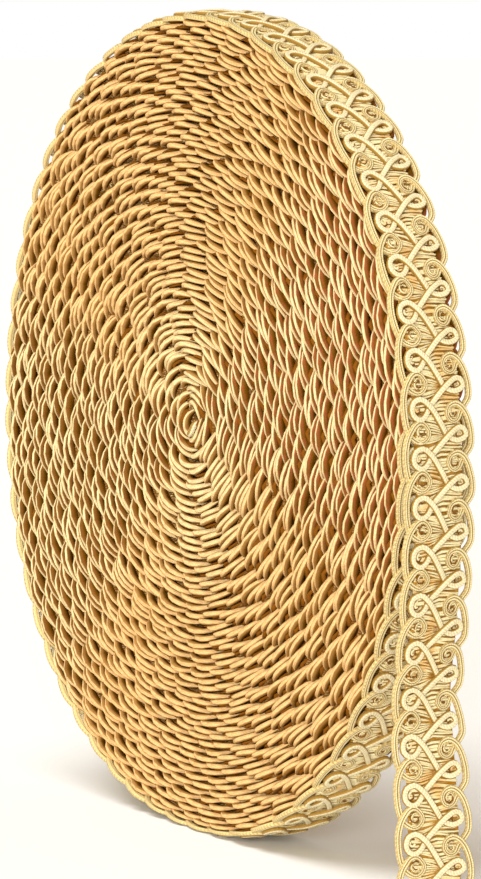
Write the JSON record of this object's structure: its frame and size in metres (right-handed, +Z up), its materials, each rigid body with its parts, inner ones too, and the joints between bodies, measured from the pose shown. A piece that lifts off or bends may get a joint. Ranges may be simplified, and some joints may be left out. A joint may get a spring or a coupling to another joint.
{
  "type": "braided ribbon trim",
  "caption": "Flat, disc-shaped roll of scalloped scroll gimp braid that stands on its rim, with its loose end hanging down at one side. It edges upholstery, cushions and lampshades.",
  "frame": {"origin": "middle of the small flat spot that the roll rests on", "axes": "+Z up, through the roll's centre; Y along the roll's axis, across the braid, with -Y the side that the picture shows; +X towards the loose end"},
  "size_m": [0.1606, 0.015, 0.1585],
  "materials": {
    "wound_braid": "shiny gold braid seen edge on, with brown shade between the turns",
    "loose_braid": "shiny champagne gold braid with cream scroll cords"
  },
  "bodies": {
    "root": {"roll": "wound_braid", "loose_end": "loose_braid"}
  },
  "joints": []
}
